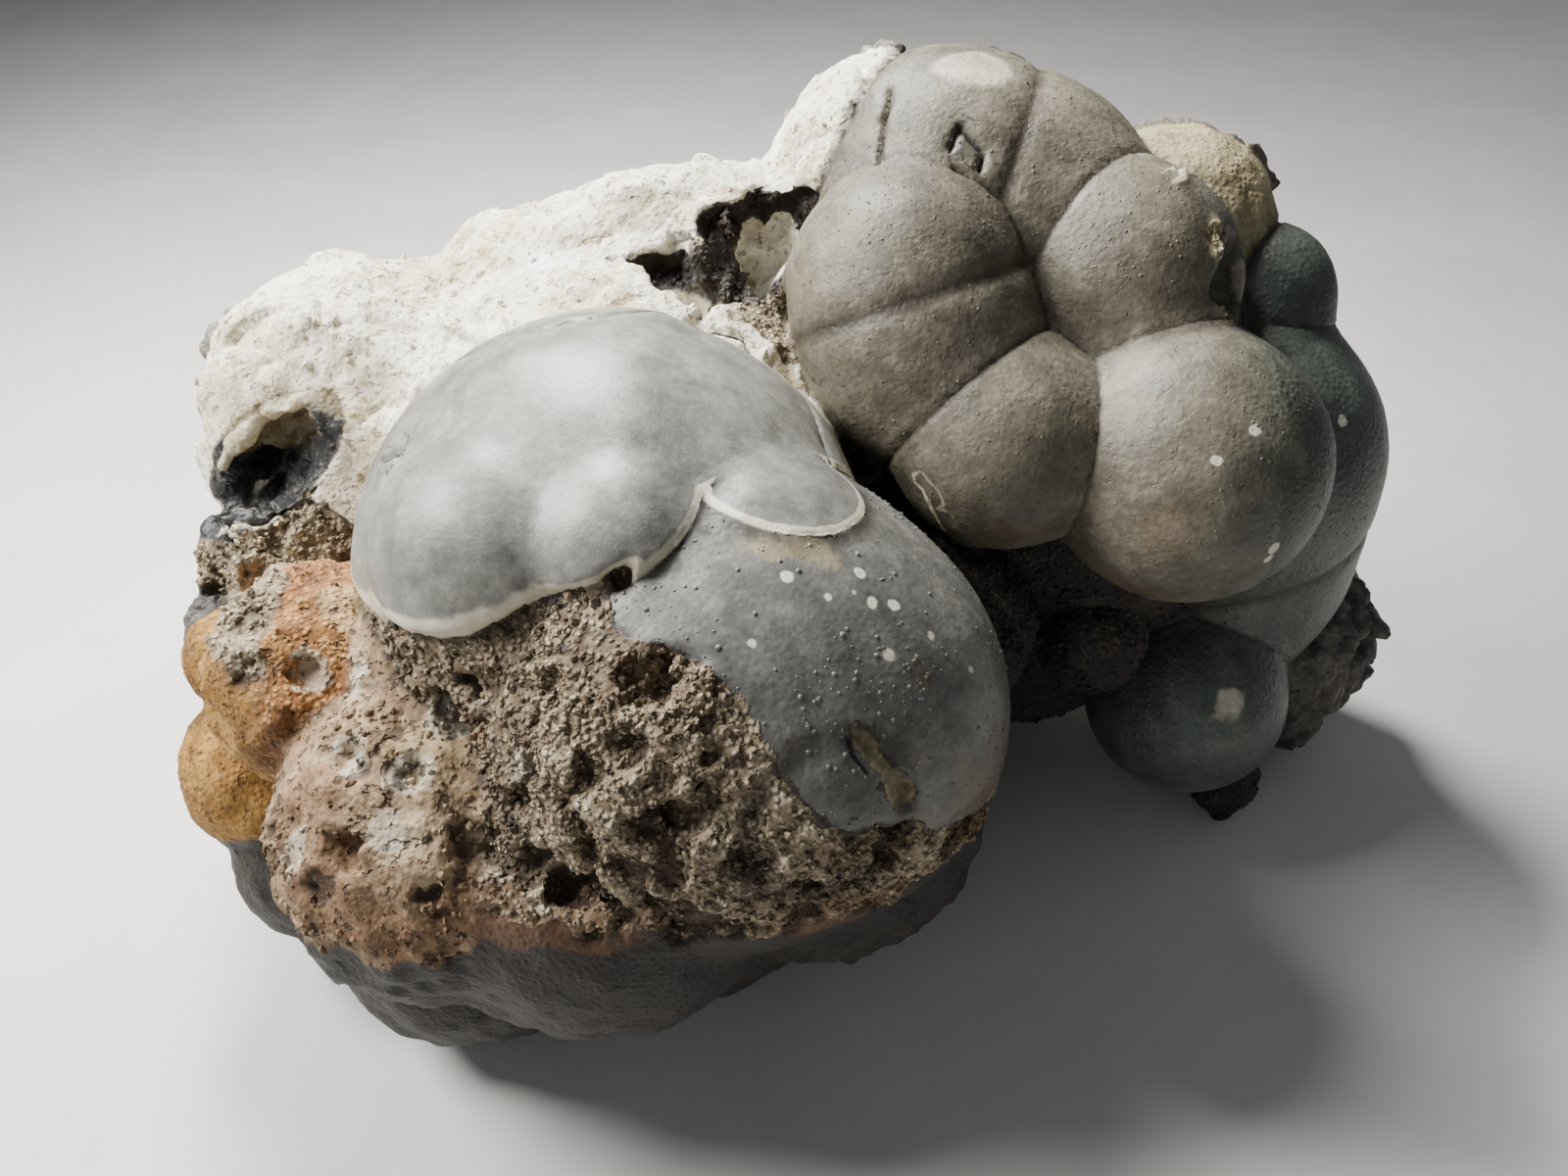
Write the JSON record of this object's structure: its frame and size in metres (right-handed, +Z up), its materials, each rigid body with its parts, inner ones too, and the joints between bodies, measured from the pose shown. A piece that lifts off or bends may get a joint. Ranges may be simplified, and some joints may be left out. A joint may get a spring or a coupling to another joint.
{
  "type": "romanechite specimen",
  "caption": "Botryoidal manganese-oxide specimen: fused rounded domes in two masses on a crust of broken, earthy matrix, resting on a worn base.",
  "frame": {"origin": "centre of the bounding box, at the height of the worn base", "axes": "+X along the longest extent, from the left dome mass to the right one; +Z up from the base; the valley between the masses faces -Y"},
  "size_m": [0.1782, 0.1114, 0.1084],
  "materials": {
    "stone": "smooth, slightly greasy grey domes with cream rims, and rough ochre, buff and dark earthy matrix"
  },
  "bodies": {
    "root": {"romanechite": "stone"}
  },
  "joints": []
}
